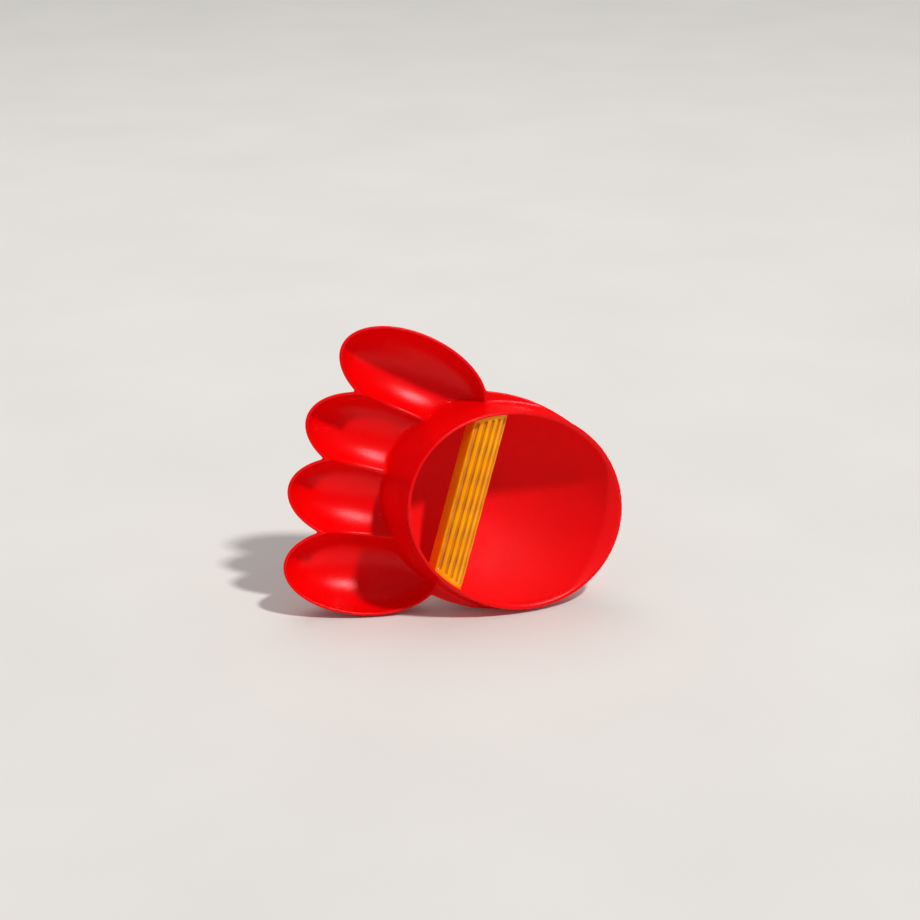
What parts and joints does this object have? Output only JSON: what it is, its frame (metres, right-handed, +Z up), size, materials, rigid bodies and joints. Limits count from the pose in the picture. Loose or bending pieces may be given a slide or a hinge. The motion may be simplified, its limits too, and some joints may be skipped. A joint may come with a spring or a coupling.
{
  "type": "sand digger",
  "caption": "Hand-worn beach digger shaped like a paw, with scooping fingers, a collared hand pocket and a ribbed grip bar across its mouth.",
  "frame": {"origin": "on the ground under the middle of the object's box, in the pictured pose", "axes": "+Z up; the object lies on its side, its palm and mouth facing -Y and a little up, its fingers pointing to -X and a little up"},
  "size_m": [0.1985, 0.0773, 0.1654],
  "materials": {
    "red_plastic": "smooth gloss moulding, lightly scuffed",
    "yellow_plastic": "satin gloss moulding"
  },
  "bodies": {
    "root": {"paw_shell": "red_plastic", "grip_bar": "yellow_plastic"}
  },
  "joints": []
}
